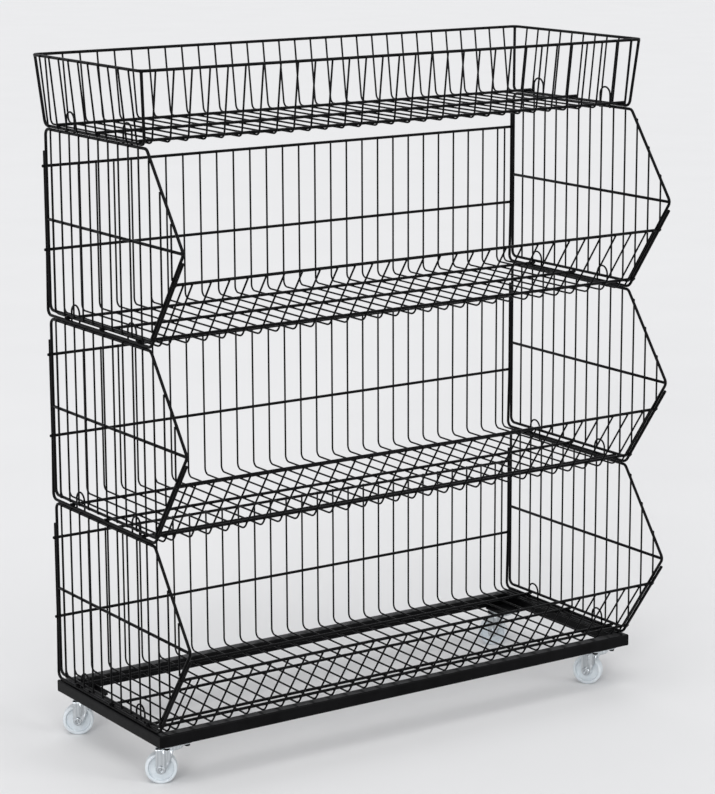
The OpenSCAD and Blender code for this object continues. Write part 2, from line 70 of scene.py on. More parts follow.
# Casters
SWIVEL_IN_X, SWIVEL_IN_Y, TRAIL = 40, 32, 18.0
WHEEL_D, WHEEL_W, HUB_R, HUB_OVER, WEB_HALF, RIM_T = 50.0, 17.0, 9.0, 2.3, 3.0, 5
PLATE_W, PLATE_D, PLATE_T, PLATE_R = 46.0, 38.0, 2.5, 5
SCREW_X, SCREW_Y, SCREW_D, SCREW_HEAD, SCREW_T = 18.0, 14.0, 5.0, 8.0, 3.5
FORK_T, CUP_R, CUP_H, CUP_WALL, PIN_BORE_R = 2.5, 17.0, 3.6, 1.6, 4.05
BALL_D, BALL_RING, BALL_SUNK, BALL_DIP, BALL_PLAY = 4.6, 12.0, 0.6, 0.3, 0.05
LEG_GAP, LEG_END, LEG_BEND, LEG_LAP, LEG_TAIL, LEG_BACK = 2.6, 8.0, 4.0, 0.4, 1.5, -4
LEG_TOUCH = (10.56, 22.07)
AXLE_D, AXLE_PLAY, HEAD_D, HEAD_T, HOLLOW_D, NUT_D, NUT_T = 6.0, 0.05, 14.0, 2.4, 7.5, 11.5, 5.0

# What follows from them: y and z are 0 at the middle of the side's back and bottom rods, and OFF_ is a distance
# outside the side rods' middle
OFF_ROD = ROD + SEAM
OFF_WIRE = OFF_ROD + (ROD + WIRE) / 2 - WELD
OFF_END = OFF_ROD + ROD - WELD
SIDE_X = HALF_W + (ROD + WIRE) / 2 - WELD
ROD_END = HALF_W + ROD / 2 + ROD_OVER
WIRE_TIP = ROD / 2 + WIRE_OVER
BASE_TOP = BASE_Z + TUBE
STACK = OFF_END + ROD / 2 + REST
BIN_Z0 = BASE_TOP + STACK
SIDE_H = PITCH - ROD / 2 - STACK
BASKET_Z0 = BIN_Z0 + 2 * PITCH + SIDE_H + ROD + REST
LIP_LEN = math.hypot(NOSE_OUT, NOSE_Z)
LIP_DIR = np.array([-NOSE_OUT, NOSE_Z]) / LIP_LEN
LIP_OUT = np.array([-NOSE_Z, -NOSE_OUT]) / LIP_LEN
LIP_SHIFT = (1 - NOSE_OUT / LIP_LEN) * LIP_LEN / NOSE_Z
FLOOR_RODS = [share * FLOOR_D for share in FLOOR_ROD_SHARES]


def lip_point(t, off):
    """The (y, z) point t along the lip from its foot, and off outside the side rod's middle."""
    return np.array([-FLOOR_D, 0.0]) + t * LIP_DIR + off * LIP_OUT


def front_corner(off):
    """Where the floor's line and the lip's line meet, both that far outside the side rods' middle."""
    return np.array([-FLOOR_D - LIP_SHIFT * off, -off])


RIM_LAP = (1 - math.sqrt(0.5)) * BEND_R
RIM_X = HALF_W + LEAN_X + RIM_LAP
RIM_BACK = LEAN_Y + RIM_LAP
RIM_FRONT = -BASKET_D - LEAN_Y - RIM_LAP
WALL_OFF = (ROD + WIRE) / 2 - WELD
BASKET_WIRE_Z = OFF_ROD - (ROD + WIRE) / 2 + WELD
# The model is centred between its foremost and rearmost points, as its source reckons them
FOREMOST = lip_point(LIP_TOP + LIP_OVER, OFF_END + ROD / 2)[0]
REARMOST = RIM_BACK + (WALL_OFF + WIRE / 2) * 1.004 + 0.2
SHIFT_Y = -(FOREMOST + REARMOST) / 2
BASE_BACK = BASE_OVER
BASE_FRONT = BASE_BACK - BASE_D
BASE_HALF = HALF_W + BASE_OVER
SWIVEL_X = BASE_HALF - SWIVEL_IN_X
SWIVEL_FRONT, SWIVEL_BACK = BASE_FRONT + SWIVEL_IN_Y, BASE_BACK - SWIVEL_IN_Y
# Each caster's swivel axis, and the way that it trails, in degrees about Z
CASTERS = {"front_left": (-SWIVEL_X, SWIVEL_FRONT, 148), "front_right": (SWIVEL_X, SWIVEL_FRONT, 125),
           "back_left": (-SWIVEL_X, SWIVEL_BACK, 148), "back_right": (SWIVEL_X, SWIVEL_BACK, 140)}
PLATE_Z = BASE_Z - SEAM - CORNER_T
FORK_Z = PLATE_Z - SEAM - PLATE_T - BALL_D + BALL_SUNK
LEG_IN = WHEEL_W / 2 + LEG_GAP
HUB_HALF = WHEEL_W / 2 + HUB_OVER
AXLE_Z = WHEEL_D / 2

# How finely round forms are divided
WIRE_SIDES, ROD_SIDES = 12, 16
ARC_STEP, SOFT_STEP = math.radians(12), math.radians(22.5)
SOFT_MIDDLE = 0.3

# Half axes of the weld beads: at a thin wire, an end rod, the basket's rods and rim, and the locating loops' legs
BEAD_LONG, BEAD_WIDE, BEAD_HIGH = 2.4, 2.2, 1.1
END_BEAD, END_BEAD_HIGH = 3.3, 1.9
BASKET_BEAD, BASKET_BEAD_HIGH = 3.0, 1.2
RIM_BEAD, RIM_BEAD_HIGH = 2.9, 1.4
LOOP_BEAD = (1.3, 2.0, 2.4)
FOOT_BEAD, FOOT_BEAD_HIGH = 2.6, 1.6
EX, EY, EZ = np.eye(3)

# The photograph's camera (millimetres, degrees, pixels) and the world's light on the object and as a backdrop
CAMERA_AT = (-2338.146, -3693.937, 1461.629)
CAMERA_TURN = (77.6304, 0.2409, -33.7536)
CAMERA_F, LONG_SIDE, SENSOR = 2655.396, 794, 36.0
LIGHT, BACKDROP = 0.42, 0.87


class Shape:
    """Collects the faces of one piece, in millimetres."""

    def __init__(self):
        self.points, self.faces, self.count = [], [], 0

    def add(self, points, faces):
        self.points.append(np.asarray(points, float))
        self.faces += [tuple(i + self.count for i in f) for f in faces]
        self.count += len(points)

    def tube(self, path, d, sides, closed=False, soft=0.35):
        """A round bar along a path, with softly rounded ends unless it is closed."""
        path = np.asarray(path, float)
        n = len(path)
        ahead = np.roll(path, -1, 0) - path
        if closed:
            behind = np.roll(ahead, 1, 0)
        else:
            ahead[-1] = ahead[-2]
            behind = np.vstack([ahead[:1], ahead[:-1]])
        ahead /= np.linalg.norm(ahead, axis=1)[:, None]
        behind /= np.linalg.norm(behind, axis=1)[:, None]
        along = ahead + behind
        along /= np.linalg.norm(along, axis=1)[:, None]
        first = np.cross(along[0], [0.31, 0.52, 0.79])
        side = first / np.linalg.norm(first)
        angle = np.arange(sides) * 2 * math.pi / sides
        flats = []
        for i in range(n):
            side = side - along[i] * (side @ along[i])
            side /= np.linalg.norm(side)
            other = np.cross(along[i], side)
            flats.append(np.outer(np.cos(angle), side) + np.outer(np.sin(angle), other))
        r = d / 2
        cut = soft * r
        if closed:
            points = [c + r * flat for c, flat in zip(path, flats)]
        else:
            # Each end steps in over two rings
            steps = ((0.0, r - cut), (SOFT_MIDDLE * cut, r - SOFT_MIDDLE * cut), (cut, r))
            points = [path[0] + up * along[0] + size * flats[0] for up, size in steps]
            points += [c + r * flat for c, flat in zip(path[1:-1], flats[1:-1])]
            points += [path[-1] - up * along[-1] + size * flats[-1] for up, size in reversed(steps)]
        m = len(points)
        faces = []
        turn = 0
        if closed:
            # The last ring may meet the first one turned by a few sides
            gap = points[0] - path[0]
            last = points[-1] - path[-1]
            turn = int(np.argmin([np.sum((np.roll(gap, -k, 0) - last) ** 2) for k in range(sides)]))
        for i in range(m if closed else m - 1):
            j = (i + 1) % m
            step = turn if closed and j == 0 else 0
            for k in range(sides):
                k1 = (k + 1) % sides
                a, b = (k + step) % sides, (k1 + step) % sides
                faces.append((i * sides + k, i * sides + k1, j * sides + b, j * sides + a))
        if not closed:
            faces.append(tuple(reversed(range(sides))))
            faces.append(tuple((m - 1) * sides + k for k in range(sides)))
        self.add(np.vstack(points), faces)

    def skin(self, loops, ring=False):
        """A closed skin through loops with the same number of points; the end loops are capped."""
        loops = [np.asarray(loop, float) for loop in loops]
        n, m = len(loops[0]), len(loops)
        faces = []
        for i in range(m if ring else m - 1):
            j = (i + 1) % m
            faces += [(i * n + k, i * n + (k + 1) % n, j * n + (k + 1) % n, j * n + k) for k in range(n)]
        if not ring:
            faces += [tuple(reversed(range(n))), tuple((m - 1) * n + k for k in range(n))]
        points = np.vstack(loops)
        middle = points.mean(0)
        volume = 0.0
        for f in faces:
            a = points[f[0]] - middle
            for k in range(1, len(f) - 1):
                volume += a @ np.cross(points[f[k]] - middle, points[f[k + 1]] - middle)
        if volume < 0:
            faces = [tuple(reversed(f)) for f in faces]
        self.add(points, faces)

    def lathe(self, centre, axis, profile, sides=48, ring=False):
        """A turned form: (radius, height) pairs along an axis through the centre."""
        axis = np.asarray(axis, float)
        side = np.cross(axis, (0, 0, 1) if abs(axis[2]) < 0.9 else (1, 0, 0))
        side /= np.linalg.norm(side)
        other = np.cross(axis, side)
        angle = np.arange(sides) * 2 * math.pi / sides
        round_ = np.outer(np.cos(angle), side) + np.outer(np.sin(angle), other)
        self.skin([np.asarray(centre, float) + h * axis + r * round_ for r, h in profile], ring)

    def bead(self, centre, u, v, w, around=10, rows=6):
        """A weld bead: an ellipsoid with half axes u, v and w."""
        centre, u, v, w = (np.asarray(p, float) for p in (centre, u, v, w))
        points = [centre + w]
        for i in range(1, rows):
            a = math.pi * i / rows
            for k in range(around):
                b = 2 * math.pi * k / around
                points.append(centre + math.cos(a) * w + math.sin(a) * (math.cos(b) * u + math.sin(b) * v))
        points.append(centre - w)
        last = len(points) - 1
        faces = []
        for k in range(around):
            k1 = (k + 1) % around
            faces.append((0, 1 + k, 1 + k1))
            base = 1 + (rows - 2) * around
            faces.append((last, base + k1, base + k))
            for i in range(rows - 2):
                a, b = 1 + i * around, 1 + (i + 1) * around
                faces.append((a + k, b + k, b + k1, a + k1))
        if np.cross(u, v) @ w < 0:
            faces = [tuple(reversed(f)) for f in faces]
        self.add(points, faces)

    def make(self, name, body, material, slot, nodes, shift=(0, 0, 0), turn=0.0, sharp=None):
        """Links the piece: turned by so many degrees about Z, shifted, on its body, for its CAD nodes."""
        c, t = math.cos(math.radians(turn)), math.sin(math.radians(turn))
        points = np.vstack(self.points) @ np.array([[c, t, 0], [-t, c, 0], [0, 0, 1]])
        points = (points + np.asarray(shift, float)) * MM
        mesh = bpy.data.meshes.new(name)
        mesh.from_pydata(points.tolist(), [], self.faces)
        mesh.validate()
        mesh.shade_smooth()
        if sharp:
            mesh.set_sharp_from_angle(angle=math.radians(sharp))
        piece = bpy.data.objects.new(name, mesh)
        bpy.context.scene.collection.objects.link(piece)
        mesh.materials.append(material)
        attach(piece, body)
        if nodes:
            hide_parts(*nodes)
        return piece


def rounded(corners, radii, closed=False, step=ARC_STEP, guard=0.0):
    """The line through the corners, with an arc at each one that has a radius.

    A guard adds a point so far before and after each arc, which keeps smooth shading to the arc."""
    corners = [np.asarray(c, float) for c in corners]
    n = len(corners)
    path = []
    for i, c in enumerate(corners):
        r = radii[i] if not np.isscalar(radii) else radii
        if not r or (not closed and i in (0, n - 1)):
            path.append(c)
            continue
        a = c - corners[i - 1]
        b = corners[(i + 1) % n] - c
        a, b = a / np.linalg.norm(a), b / np.linalg.norm(b)
        angle = math.acos(max(-1.0, min(1.0, a @ b)))
        back = r * math.tan(angle / 2)
        inward = b - a
        inward /= np.linalg.norm(inward)
        centre = c + inward * r / math.cos(angle / 2)
        start = c - a * back - centre
        steps = max(2, round(angle / step))
        if guard:
            path.append(c - a * (back + guard))
        for k in range(steps + 1):
            t = angle * k / steps
            path.append(centre + start * math.cos(t) + a * r * math.sin(t))
        if guard:
            path.append(c + b * (back + guard))
    return path


def at_x(x, points):
    """Points of the (y, z) plane, set at x."""
    return [np.array([x, p[0], p[1]]) for p in points]


# Materials

def nodes_of(name):
    """A new material with its node tree, its shader and the object's coordinates."""
    material = bpy.data.materials.new(name)
    material.use_nodes = True
    tree = material.node_tree
    tree.nodes.clear()
    out = tree.nodes.new("ShaderNodeOutputMaterial")
    shader = tree.nodes.new("ShaderNodeBsdfPrincipled")
    tree.links.new(shader.outputs[0], out.inputs[0])
    coords = tree.nodes.new("ShaderNodeTexCoord")
    return material, tree, shader, coords.outputs["Object"]


def noise(tree, where, scale, detail):
    """Noise between 0 and 1, with that many waves a metre."""
    node = tree.nodes.new("ShaderNodeTexNoise")
    node.inputs["Scale"].default_value = scale
    node.inputs["Detail"].default_value = detail
    tree.links.new(where, node.inputs["Vector"])
    return node.outputs["Fac"]


def spread(tree, value, low, high, at=(0.3, 0.7)):
    """The value, stretched so that the pair in at becomes low and high."""
    node = tree.nodes.new("ShaderNodeMapRange")
    for socket, v in zip(("From Min", "From Max", "To Min", "To Max"), (*at, low, high)):
        node.inputs[socket].default_value = v
    tree.links.new(value, node.inputs["Value"])
    return node.outputs[0]


def blend_colours(tree, value, first, second):
    """A colour between the two, as the value says."""
    node = tree.nodes.new("ShaderNodeMix")
    node.data_type = "RGBA"
    node.inputs["A"].default_value = (*first, 1)
    node.inputs["B"].default_value = (*second, 1)
    tree.links.new(spread(tree, value, 0, 1), node.inputs["Factor"])
    return node.outputs["Result"]


def bump(tree, shader, height, distance, strength):
    """Relief of that depth in metres."""
    node = tree.nodes.new("ShaderNodeBump")
    node.inputs["Strength"].default_value = strength
    node.inputs["Distance"].default_value = distance
    tree.links.new(height, node.inputs["Height"])
    tree.links.new(node.outputs[0], shader.inputs["Normal"])


def coating():
    """Black powder coat: deep black, half gloss, with a fine orange peel and a little uneven cure."""
    material, tree, shader, where = nodes_of("black_powder_coat")
    colour = blend_colours(tree, noise(tree, where, 35, 4), (0.0018, 0.0018, 0.002), (0.0045, 0.0045, 0.005))
    tree.links.new(colour, shader.inputs["Base Color"])
    tree.links.new(spread(tree, noise(tree, where, 140, 3), 0.27, 0.42), shader.inputs["Roughness"])
    shader.inputs["Specular IOR Level"].default_value = 0.06
    bump(tree, shader, noise(tree, where, 900, 2), 0.00008, 0.5)
    return material


def zinc():
    """Zinc plating: a bluish grey with an upright drawn grain in colour and relief, and an uneven gloss."""
    material, tree, shader, where = nodes_of("zinc_plate")
    drawn = tree.nodes.new("ShaderNodeMapping")
    drawn.inputs["Scale"].default_value = (1.0, 1.0, 0.04)
    tree.links.new(where, drawn.inputs["Vector"])
    grain = noise(tree, drawn.outputs["Vector"], 380, 3)
    colour = blend_colours(tree, grain, (0.40, 0.43, 0.45), (0.72, 0.75, 0.77))
    tree.links.new(colour, shader.inputs["Base Color"])
    shader.inputs["Metallic"].default_value = 1.0
    tree.links.new(spread(tree, noise(tree, where, 160, 3), 0.26, 0.38), shader.inputs["Roughness"])
    bump(tree, shader, grain, 0.00003, 0.1)
    return material


def wheel_plastic():
    """Milky translucent plastic: pale, a little cloudy, with fine scuffs."""
    material, tree, shader, where = nodes_of("milky_wheel_plastic")
    colour = blend_colours(tree, noise(tree, where, 60, 4), (0.76, 0.82, 0.86), (0.84, 0.89, 0.92))
    tree.links.new(colour, shader.inputs["Base Color"])
    tree.links.new(spread(tree, noise(tree, where, 320, 4), 0.3, 0.5), shader.inputs["Roughness"])
    shader.inputs["Transmission Weight"].default_value = 0.12
    shader.inputs["IOR"].default_value = 1.46
    bump(tree, shader, noise(tree, where, 500, 3), 0.00006, 0.4)
    return material


BLACK, ZINC, MILKY = coating(), zinc(), wheel_plastic()
for name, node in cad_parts.items():
    kind = MILKY if "wheel" in name else ZINC
    if name.startswith(("base", "corner", "plate_screws", "lower", "middle", "upper", "basket")):
        kind = BLACK
    node.data.materials.clear()
    node.data.materials.append(kind)


# Bins

MESH_FIRST = HALF_W - MESH_INSET
EDGE_WIRE = HALF_W - EDGE_INSET
MESH_X = [-EDGE_WIRE, *np.linspace(-MESH_FIRST, MESH_FIRST, MESH_WIRES), EDGE_WIRE]
SIDE_Y = np.linspace(SIDE_FIRST, FLOOR_D + NOSE_OUT - SIDE_LAST, SIDE_WIRES)


def in_plane(p):
    """The (y, z) pair as a vector."""
    return np.array([0.0, p[0], p[1]])


def mesh_panel(level, body):
    """The bent mesh of a bin: back, floor and lip in one piece."""
    s = Shape()
    wire = rounded([(OFF_WIRE, BACK_TOP + ROD / 2 - WIRE_UNDER), (OFF_WIRE, -OFF_WIRE), front_corner(OFF_WIRE),
                    lip_point(LIP_TOP + WIRE_TIP, OFF_WIRE)], [0, BEND_R, WIRE_FRONT_R, 0])
    for x in MESH_X:
        s.tube(at_x(x, wire), WIRE, WIRE_SIDES)
    # The end rods lie close to the side rods on the back and the lip, and stand off them along the floor
    foot = (LIP_OUT[1] * -OFF_CLOSE - OFF_END) / LIP_DIR[1]
    end = rounded([(OFF_CLOSE, BACK_TOP + BACK_OVER), (OFF_CLOSE, BACK_MID), (OFF_END, -OFF_END),
                   lip_point(foot, OFF_CLOSE), lip_point(LIP_TOP + LIP_OVER, OFF_CLOSE)],
                  [0, CLOSE_R, BEND_R, FRONT_R, 0])
    for x in (-HALF_W, HALF_W):
        s.tube(at_x(x, end), ROD, ROD_SIDES)
    rods = [((OFF_ROD, z), EZ, EY) for z in (BACK_MID, BACK_TOP)]
    rods += [((-y, -OFF_ROD), EY, -EZ) for y in FLOOR_RODS]
    rods += [(lip_point(t, OFF_ROD), in_plane(LIP_DIR), in_plane(LIP_OUT)) for t in (LIP_FOOT, LIP_TOP)]
    for (y, z), along, away in rods:
        s.tube([[-ROD_END, y, z], [ROD_END, y, z]], ROD, ROD_SIDES)
        spot = np.array([0, y, z]) + away * (ROD / 2 - WELD / 2)
        for x in MESH_X:
            s.bead(spot + x * EX, BEAD_LONG * EX, BEAD_WIDE * along, BEAD_HIGH * away)
        for x in (-HALF_W, HALF_W):
            s.bead(spot + x * EX, END_BEAD * EX, END_BEAD * along, END_BEAD_HIGH * away)
    names = [f"{body}_{p}" for p in ("back", "floor", "lip")]
    s.make(f"{body}_mesh", body, BLACK, "black_coating", names, (0, SHIFT_Y, BIN_Z0 + level * PITCH))


def side_low(y):
    """Height of the side's lower edge, y millimetres in front of its back rod."""
    return max(0.0, (y - FLOOR_D) / NOSE_OUT) * NOSE_Z


def side_high(y):
    """Height of the side's upper edge."""
    return SIDE_H - max(0.0, (y - FLOOR_D) / NOSE_OUT) * (SIDE_H - NOSE_Z)


def side_frame(level, body, hand, label):
    """A bin's side: the bent rod loop, the middle rod and the upright wires on the outer face."""
    s = Shape()
    x = hand * HALF_W
    corners = [(0, 0), (0, SIDE_H), (-FLOOR_D, SIDE_H), (-FLOOR_D - NOSE_OUT, NOSE_Z), (-FLOOR_D, 0)]
    loop = rounded(corners, BEND_R, closed=True)
    s.tube(at_x(x, loop), ROD, ROD_SIDES, closed=True)
    nose = min(p[0] for p in loop)
    s.tube(at_x(x, [(WELD - ROD / 2, NOSE_Z), (nose + ROD / 2 - WELD, NOSE_Z)]), ROD, ROD_SIDES)
    outer = hand * SIDE_X
    for y in SIDE_Y:
        low, high = side_low(y), side_high(y)
        s.tube(at_x(outer, [(-y, low - UPRIGHT_OVER), (-y, high + UPRIGHT_OVER)]), WIRE, WIRE_SIDES)
        for z in (low, NOSE_Z, high):
            s.bead([hand * (HALF_W + ROD / 2 - WELD / 2), -y, z], BEAD_HIGH * hand * EX, BEAD_WIDE * EY, BEAD_LONG * EZ)
    s.make(f"{body}_{label}_frame", body, BLACK, "black_coating", [f"{body}_{label}"],
           (0, SHIFT_Y, BIN_Z0 + level * PITCH))


LOOP_X = HALF_W - ROD / 2 - REST - WIRE / 2
LOOP_Y = (-FLOOR_RODS[0] - (ROD + WIRE + LOOP_W) / 2 - LOOP_CLEAR, -LOOP_SHARE * FLOOR_D)


def locating_loops(name, body, height, foot, node):
    """Four bent wires, whose legs begin so far below the height given, or above it where the foot is negative."""
    s = Shape()
    r = LOOP_W / 2
    arc = [(r * math.cos(a), LOOP_H - r + r * math.sin(a)) for a in np.linspace(0, math.pi, 17)]
    path = [(r, -foot), *arc, (-r, -foot)]
    for hand in (-1, 1):
        for y in LOOP_Y:
            x = hand * LOOP_X
            s.tube(at_x(x, [(y + p, z) for p, z in path]), WIRE, WIRE_SIDES)
            for leg in (-r, r):
                if foot > 0:
                    out, wide, high = LOOP_BEAD
                    s.bead([hand * (LOOP_X + WIRE / 2), y + leg, 0], out * hand * EX, wide * EY, high * EZ)
                else:
                    s.bead([x, y + leg, -foot + 0.4], FOOT_BEAD * EX, FOOT_BEAD * EY, FOOT_BEAD_HIGH * EZ)
    s.make(name, body, BLACK, "black_coating", [node], (0, SHIFT_Y, height))


for level, body in enumerate(("lower_bin", "middle_bin", "upper_bin")):
    mesh_panel(level, body)
    side_frame(level, body, -1, "side_left")
    side_frame(level, body, 1, "side_right")
    locating_loops(f"{body}_locating_loops", body, BIN_Z0 + level * PITCH + SIDE_H, ROD / 2, f"{body}_loops")
locating_loops("base_locating_loops", "base", BASE_TOP - ROD / 2, -ROD / 2, "base_loops")


# Basket

def basket():
    """Front, back, floor and rim in one piece, and the two side walls."""
    shift = (0, SHIFT_Y, BASKET_Z0)
    wall_back = [(RIM_BACK + WALL_OFF, RIM_H), (ROD / 2, BASKET_WIRE_Z)]
    wall_front = [(-BASKET_D - ROD / 2, BASKET_WIRE_Z), (RIM_FRONT - WALL_OFF, RIM_H)]

    def further(p, q, by):
        """The point p, moved by so many millimetres away from q."""
        u = np.subtract(p, q)
        return np.asarray(p, float) + by * u / np.linalg.norm(u)

    s = Shape()
    first = HALF_W - BASKET_INSET
    corners = [further(wall_back[0], wall_back[1], WIRE_OVER), wall_back[1], wall_front[0],
               further(wall_front[1], wall_front[0], WIRE_OVER)]
    line = rounded(corners, [0, BEND_R, BEND_R, 0])
    places = np.linspace(-first, first, BASKET_WIRES)
    for x in places:
        s.tube(at_x(x, line), WIRE, WIRE_SIDES)
    for y in np.linspace(BASKET_RODS[0], BASKET_RODS[1] - BASKET_D, 3):
        end = HALF_W + ROD / 2
        s.tube([[-end, y, OFF_ROD], [end, y, OFF_ROD]], ROD, ROD_SIDES)
        for x in places:
            s.bead([x, y, OFF_ROD - ROD / 2 + WELD / 2], BEAD_LONG * EX, BEAD_WIDE * EY, BEAD_HIGH * EZ)
        for x in (-HALF_W, HALF_W):
            s.bead([x, y, OFF_ROD - ROD / 2], BASKET_BEAD * EX, BASKET_BEAD * EY, BASKET_BEAD_HIGH * EZ)
    rim = rounded([(-RIM_X, RIM_FRONT, RIM_H), (RIM_X, RIM_FRONT, RIM_H), (RIM_X, RIM_BACK, RIM_H),
                   (-RIM_X, RIM_BACK, RIM_H)], BEND_R, closed=True)
    s.tube(rim, ROD, ROD_SIDES, closed=True)
    for x in places:
        for y in (RIM_BACK + ROD / 2 - WELD / 2, RIM_FRONT - ROD / 2 + WELD / 2):
            s.bead([x, y, RIM_H], BEAD_WIDE * EX, BEAD_HIGH * EY, BEAD_LONG * EZ)
    s.make("basket_mesh", "basket", BLACK, "black_coating", ["basket_front", "basket_back", "basket_floor"], shift)

    slope = math.hypot(LEAN_X, RIM_H)
    lean = np.array([LEAN_X / slope, 0, RIM_H / slope])
    side_pitch = (BASKET_D - BASKET_SIDE_INSET) / (BASKET_SIDE_WIRES - 1)
    share = (RIM_H - ROD / 2 - RIM_GAP) / RIM_H
    for hand, label in ((-1, "side_left"), (1, "side_right")):
        s = Shape()
        up = lean * np.array([hand, 1, 1])
        corners = [(LEAN_Y * share, slope * share), (0, 0), (-BASKET_D, 0), (-BASKET_D - LEAN_Y * share, slope * share)]
        line = rounded(corners, [0, BEND_R, BEND_R, 0])
        foot = np.array([hand * HALF_W, 0, 0])
        s.tube([foot + p[0] * EY + p[1] * up for p in line], ROD, ROD_SIDES)
        for end in (line[0], line[-1]):
            s.bead(foot + end[0] * EY + end[1] * up, RIM_BEAD * EX, RIM_BEAD * EY, RIM_BEAD_HIGH * EZ)
        for i in range(BASKET_SIDE_WIRES):
            y = -BASKET_D / 2 + (i - (BASKET_SIDE_WIRES - 1) / 2) * side_pitch
            a = np.array([hand * (HALF_W + WALL_OFF), y, -BASKET_OVER])
            b = np.array([hand * (RIM_X + WALL_OFF), y, RIM_H + BASKET_OVER])
            s.tube([a, b], WIRE, WIRE_SIDES)
            for x, z in ((HALF_W, 0), (RIM_X, RIM_H)):
                spot = [hand * (x + ROD / 2 - WELD / 2), y, z]
                s.bead(spot, BEAD_HIGH * hand * EX, BEAD_WIDE * EY, BEAD_LONG * EZ)
        s.make(f"basket_{label}_frame", "basket", BLACK, "black_coating", [f"basket_{label}"], shift)


basket()


# Base and casters

def rect(w, d, r, inset=0.0):
    """A rectangle with rounded corners, centred on the origin and drawn in by the inset."""
    x, y = w / 2 - inset, d / 2 - inset
    return rounded([(x, y), (-x, y), (-x, -y), (x, -y)], r - inset, True, SOFT_STEP, 0.3)


def base_frame():
    """The square tube in one skin round its four mitres, with a ground weld on each of them."""
    s = Shape()
    middle = (BASE_FRONT + BASE_BACK) / 2
    out_x, out_y = BASE_HALF - TUBE / 2, BASE_D / 2 - TUBE / 2

    def at_corner(sx, sy, edge):
        return [(sx * (out_x + a), middle + sy * (out_y + a), TUBE / 2 + b) for a, b in edge]

    hands = [(-1, -1), (1, -1), (1, 1), (-1, 1)]
    s.skin([at_corner(sx, sy, rect(TUBE, TUBE, TUBE_EDGE)) for sx, sy in hands], ring=True)
    for sx, sy in hands:
        s.tube(at_corner(sx, sy, rect(TUBE, TUBE, TUBE_EDGE, MITRE_IN)), MITRE_D, 8, closed=True)
    names = [f"base_rail_{p}" for p in ("front", "back", "left", "right")]
    s.make("base_tube_frame", "base", BLACK, "black_coating", names, (0, SHIFT_Y, BASE_Z), sharp=40)


def flat_plate(s, x, y, w, d, r, low, high, soft=0.5):
    """A sheet plate with rounded corners and softened edges."""
    steps = [(2.4 * soft, 0), (soft, 0), (0.3 * soft, 0.3 * soft), (0, soft)]
    levels = [(inset, low + up) for inset, up in steps] + [(inset, high - up) for inset, up in reversed(steps)]
    s.skin([[(x + p[0], y + p[1], z) for p in rect(w, d, r, inset)] for inset, z in levels])


def plates_and_screws():
    """The corner plates and the screws, each as one piece, and a top plate for each caster."""
    corner, screws = Shape(), Shape()
    under = PLATE_Z - PLATE_T - 3 * SEAM
    for name, (x, y, _) in CASTERS.items():
        flat_plate(corner, x, y, PLATE_W + 2 * CORNER_OVER, PLATE_D + 2 * CORNER_OVER, CORNER_R, PLATE_Z,
                   PLATE_Z + CORNER_T)
        plate = Shape()
        flat_plate(plate, x, y, PLATE_W, PLATE_D, PLATE_R, PLATE_Z - SEAM - PLATE_T, PLATE_Z - SEAM)
        plate.make(f"caster_{name}_top_plate", "base", ZINC, "zinc", [f"caster_plate_{name}"], (0, SHIFT_Y, 0))
        for sx, sy in ((-1, -1), (1, -1), (1, 1), (-1, 1)):
            spot = (x + sx * SCREW_X, y + sy * SCREW_Y, under)
            r = SCREW_HEAD / math.sqrt(3)
            screws.lathe(spot, EZ, [(r - 0.9, -SCREW_T), (r - 0.05, 0.4 - SCREW_T), (r, 0.6 - SCREW_T), (r, 0)], 6)
            screws.lathe(spot, EZ, [(SCREW_D / 2, -0.1), (SCREW_D / 2, 5)], 20)
    corner.make("corner_mounting_plates", "base", BLACK, "black_coating", ["corner_plates"], (0, SHIFT_Y, 0))
    screws.make("hex_screws", "base", BLACK, "black_coating", ["plate_screws"], (0, SHIFT_Y, 0), sharp=25)


def fade(value, low, high):
    """A smooth step from 0 at low to 1 at high."""
    t = min(1.0, max(0.0, (value - low) / (high - low)))
    return t * t * (3 - 2 * t)


def rib(u, middle, half):
    """A rounded ridge of height 1 and that half width."""
    return np.where(abs(u - middle) < half, np.cos((u - middle) / half * math.pi / 2) ** 2, 0.0)


LEG_TOP = FORK_Z - LEG_LAP
# The pressed ribs and the groove between them: places and half widths, and where they fade out
RIB_HIGH, RIB_HALF, RIB_BACK, RIB_FORE = 1.7, 3.1, 1.4, 13.4
GROOVE_AT, GROOVE_HALF = 7.4, 3.2
RIB_TOP, RIB_FOOT = (0.0, 4.0), (32.0, 38.0)


def leg_back(z):
    """The leg's sloping back edge, which meets the round end at LEG_TOUCH."""
    if z > LEG_TOUCH[1]:
        return LEG_BACK + (LEG_TOP - z) * (LEG_TOUCH[0] - LEG_BACK) / (LEG_TOP - LEG_TOUCH[1])
    return TRAIL - math.sqrt(LEG_END ** 2 - (z - AXLE_Z) ** 2)


def leg_fore(z):
    """The leg's upright front edge."""
    return TRAIL + (LEG_END if z > AXLE_Z else math.sqrt(LEG_END ** 2 - (z - AXLE_Z) ** 2))


